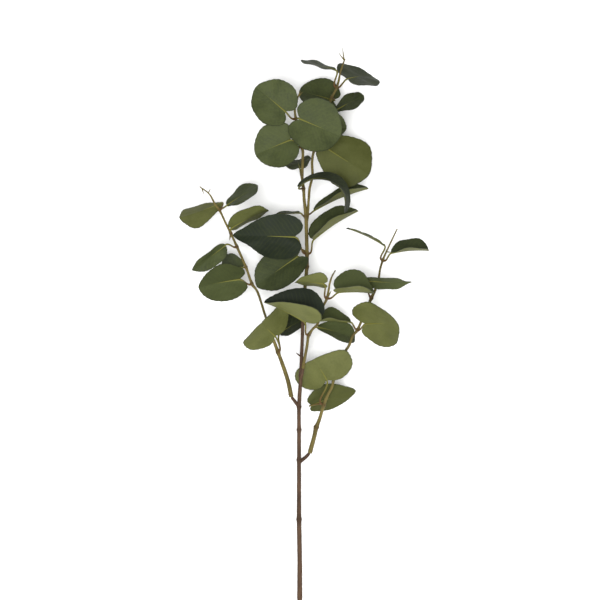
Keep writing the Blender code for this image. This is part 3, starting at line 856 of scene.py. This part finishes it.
# %% Leaves of the right sprig
leaf("right_leaf_1", RIGHT_SPRIG, 4, (32, -78, 47.5), (117, 0, 153), (46, 102), arch=50,
     tones=(0.5, 0.7))
leaf("right_leaf_2", RIGHT_SPRIG, 4, (10, -115, 22), (22, 0, 207), (66, 47), fold=12, notch=0.2,
     tip=0.25, tones=(0.5, 0))
leaf("right_leaf_3", RIGHT_SPRIG, 12, (65, 3, 55), (172, 0, 69), (46, 48), fold=26, notch=0.1,
     broad=0.5, tones=(1, 0.95))
leaf("right_leaf_4", RIGHT_SPRIG, 12, (87, 1, 64), (4, 44, 212), (84, 80), fold=-5, curl=4,
     notch=0.5, tones=(0.5, 0.6))
leaf("right_leaf_5", RIGHT_SPRIG, 14, (95, 61, 62), (-7, 0, 52), (62, 32), tip=0.25,
     tones=(1.1, 0.5))
leaf("right_leaf_6", RIGHT_SPRIG, 17, (112, 111, 60), (150, 0, 88), (60, 30), arch=12, notch=0.1,
     tones=(0.6, 0.7))
leaf("right_leaf_7", RIGHT_SPRIG, 17, (123, 100, 62), (10, 0, -65), (54, 46), fold=30, notch=0.1,
     broad=0.2, tones=(0.4, 0.7))
print("leaves so far:", leaf_count)

# %% [markdown]
# The short inner sprig carries four leaves over the middle of the branch.  The largest is folded
# sharply along its midrib, so it shows a dark upper half and a light underside.  Its upper side
# also gets the darkest tone, which paints shade on that half.

# %% Leaves of the inner sprig
leaf("inner_leaf_1", INNER_SPRIG, 3, (-1, 5, 81), (150, 0, 63), (84, 86), fold=55, twist=-30,
     notch=0.6, broad=-0.3, tones=(0, 0.9))
# inner_leaf_2's high upper tone paints light on a leaf that is tilted up the branch, away from the
# lamps.
leaf("inner_leaf_2", INNER_SPRIG, 3, (19, -4, 47), (-12, -17, -38), (62, 40), fold=15, notch=0.1,
     broad=0.5, tones=(1.3, 0.6))
leaf("inner_leaf_3", INNER_SPRIG, 7, (26, 57, 86), (172, 0, 116), (48, 46), broad=-0.35,
     tones=(0.5, 1.1))
leaf("inner_leaf_4", INNER_SPRIG, 7, (50, 45, 84), (3, 0, -62), (58, 70), fold=38,
     tones=(1.15, 0.85))
print("leaves:", leaf_count)

# %% [markdown]
# ## The stems' shape
# A stem is a tube that thins out towards its tip.  It swells at each knot, has a fine ring on both
# sides of the swelling, and is slightly lumpy and streaked along its length.  It could be sculpted,
# but a tube round a line of points keeps exactly to its route.  The tree turns rows of joined
# points into tubes; each point carries its radius and how close it is to a knot.

# %% Stem tree
STEM_SIDES = 20
RING_GAP = 1.1
KNOT_SWELL = 1.0
RING_DEPTH = 0.14
STREAK_DEPTH = 0.32
LUMP_DEPTH = 0.5


def named(tree, name, kind="FLOAT"):
    """A named attribute in a geometry tree."""
    node = add_node(tree, "GeometryNodeInputNamedAttribute", {"Name": name}, data_type=kind)
    return node.outputs["Attribute"]


def make_stem_tree(name, finish, cut_finish):
    """A tree that turns rows of points into bark-covered tubes."""
    tree, given = geometry_tree(name, {}, takes_geometry=True)
    curve = add_node(tree, "GeometryNodeMeshToCurve", {"Mesh": given("Geometry")})
    row = add_node(tree, "GeometryNodeResampleCurve",
                   {"Curve": curve.outputs[0], "Length": RING_GAP}, mode="LENGTH")
    knot = Value(tree, named(tree, "knot"))
    ring = knot * (1 - knot) * 4
    size = Value(tree, named(tree, "stem_radius")) + knot * KNOT_SWELL - ring * RING_DEPTH
    run = tree.nodes.new("GeometryNodeSplineParameter").outputs["Length"]
    lined = noted(tree, row.outputs[0], "run", run)
    sized = add_node(tree, "GeometryNodeSetCurveRadius", {"Curve": lined, "Radius": size})
    tube = skin(tree, sized.outputs[0], STEM_SIDES, finish)
    x, y, _ = split(tree, named(tree, "around", "FLOAT_VECTOR"))
    along = Value(tree, named(tree, "run"))
    streaks = noise(tree, joined(tree, x * 2.2, y * 2.2, along * 0.09), 1.3, 3.0) * STREAK_DEPTH
    lumps = noise(tree, joined(tree, x * 0.5, y * 0.5, along * 0.22), 1.0, 2.0) * LUMP_DEPTH
    normal = tree.nodes.new("GeometryNodeInputNormal").outputs[0]
    shift = add_node(tree, "ShaderNodeVectorMath", {0: normal, "Scale": streaks + lumps},
                     operation="SCALE")
    rough = moved(tree, tube, Offset=shift.outputs[0])
    _, facing, _ = split(tree, normal)
    is_cut = add_node(tree, "FunctionNodeCompare", {"A": facing, "B": -0.9},
                      operation="LESS_THAN")
    done = coloured(tree, rough, cut_finish, is_cut.outputs[0])
    smooth = add_node(tree, "GeometryNodeSetShadeSmooth", {"Geometry": done})
    end_tree(tree, smooth.outputs[0])
    return tree


brown_stem_shape = make_stem_tree("brown_stem_shape", BARK_BROWN, CUT_END)
green_stem_shape = make_stem_tree("green_stem_shape", BARK_GREEN, BARK_GREEN)
print("stem tree nodes:", len(brown_stem_shape.nodes))

# %% [markdown]
# The rows of points come from the routes: a smooth curve is drawn through each route's points, as
# a stem has no corners.  A short side stub, a shoot or a bud is one more row in the same mesh.

# %% Rows of points for a stem
ROW_STEP = 3.0
PEG_RADIUS = 1.4
PEG_LENGTH = 7.0
SHOOT_END = 0.25


def smooth_row(route):
    """Points and radii every row step along a smooth curve through the route's points."""
    points = [Vector(p[:3]) for p in route]
    radii = [p[3] for p in route]
    ends = [points[0] * 2 - points[1]] + points + [points[-1] * 2 - points[-2]]
    row = []
    for i in range(len(points) - 1):
        a, b, c, d = ends[i:i + 4]
        steps = max(1, round((c - b).length / ROW_STEP))
        for k in range(steps):
            t = k / steps
            place = 0.5 * (2 * b + (c - a) * t + (2 * a - 5 * b + 4 * c - d) * t ** 2
                           + (3 * b - a - 3 * c + d) * t ** 3)
            row.append((place, radii[i] + (radii[i + 1] - radii[i]) * t))
    return row + [(points[-1], radii[-1])]


def peg_row(route):
    """The thin peg past the end of a stub."""
    end = Vector(route[-1][:3])
    heading = (end - Vector(route[-2][:3])).normalized()
    return [(end - heading, PEG_RADIUS), (end + heading * PEG_LENGTH, PEG_RADIUS)]


def shoot_row(start, end, radius):
    """A small tapered shoot or bud."""
    start, end = Vector(start), Vector(end)
    return [(start, radius), (start.lerp(end, 0.55), radius * 0.8), (end, SHOOT_END)]


print("points along the brown stem:", len(smooth_row(MAIN_STEM)))

# %% [markdown]
# All rows of one stem go into one mesh of bare edges.  Every point of it carries two attributes for
# the tree: its radius, and a knot value that is 1 at a knot and fades away from it.

# %% Make one stem
KNOT_REACH = 2.8


def stem(name, tree, rows, knots):
    """One stem with its rows as tubes, shown in place of its solid."""
    places = [place for row in rows for place, _ in row]
    edges = []
    first = 0
    for row in rows:
        edges += [(first + i, first + i + 1) for i in range(len(row) - 1)]
        first += len(row)
    wire = bpy.data.meshes.new(name + "_wire")
    wire.from_pydata(places, edges, [])
    radius = wire.attributes.new("stem_radius", "FLOAT", "POINT")
    knot = wire.attributes.new("knot", "FLOAT", "POINT")
    sizes = [size for row in rows for _, size in row]
    centres = [Vector(route[number][:3]) for route, numbers in knots for number in numbers]
    for i, place in enumerate(places):
        radius.data[i].value = sizes[i]
        nearest = min((place - centre).length for centre in centres)
        knot.data[i].value = math.exp(-(nearest / KNOT_REACH) ** 2)
    made = grown(name + "_fine", wire, tree, {}, Matrix())
    stand_for(made, name)
    print(name, "rows:", len(rows), "faces:", len(made.data.polygons))


# %% [markdown]
# ## The five stems
# The brown stem is the oldest and ends in a clean cut.  It has three stubs, and each stub and its
# own end carry a peg, on which a green sprig is pushed.

# %% Build the brown stem
BROWN_ROUTES = (MAIN_STEM, LEFT_STUB, RIGHT_STUB, INNER_STUB)

stem("main_stem", brown_stem_shape,
     [smooth_row(route) for route in BROWN_ROUTES] + [peg_row(route) for route in BROWN_ROUTES]
     + [shoot_row((-4.5, -45, 52), (-11.5, -39.5, 54), 1.2)],
     [(MAIN_STEM, (2, 4, 5, 6, 7))])

# %% [markdown]
# The green sprigs are the crown with its fork, one sprig on each side and a short one in the
# middle.  Small pointed buds sit at some knots, and the tips end in pairs of thin shoots.

# %% Build the green sprigs
stem("crown_stem", green_stem_shape,
     [smooth_row(CROWN_STEM), smooth_row(CROWN_FORK),
      shoot_row((4.2, 101, 63), (-8.5, 108, 66), 1.4),
      shoot_row((-13, 301, 73), (-16, 309, 75), 1.3),
      shoot_row((-8.5, 317, 77), (-5, 325.5, 80), 0.9),
      shoot_row((-8.5, 317, 77), (-2, 324, 77), 0.9),
      shoot_row((56, 369, 69.5), (53.5, 386, 74), 0.9),
      shoot_row((56, 369, 69.5), (48.5, 379, 71), 0.9),
      shoot_row((45.5, 331, 62), (50.5, 344, 66), 1.3)],
     [(CROWN_STEM, (3, 4, 6, 8, 11, 13)), (CROWN_FORK, (6, 8, 9, 10))])
stem("left_sprig_stem", green_stem_shape,
     [smooth_row(LEFT_SPRIG), shoot_row((-102.5, 127.5, 54), (-104.5, 118, 57), 1.2),
      shoot_row((-143, 191, 61.5), (-140, 182, 64), 0.9),
      shoot_row((-134, 184, 59), (-131, 190, 62), 0.9)],
     [(LEFT_SPRIG, (3, 7, 8, 9, 10, 12))])
stem("right_sprig_stem", green_stem_shape,
     [smooth_row(RIGHT_SPRIG), shoot_row((115.4, 102, 58), (121.5, 101, 62), 0.9)],
     [(RIGHT_SPRIG, (2, 4, 12, 14, 17))])
stem("inner_sprig_stem", green_stem_shape,
     [smooth_row(INNER_SPRIG), shoot_row((32, 37, 74), (38, 47, 77), 1.2)],
     [(INNER_SPRIG, (3, 7))])

# %% [markdown] ## The end
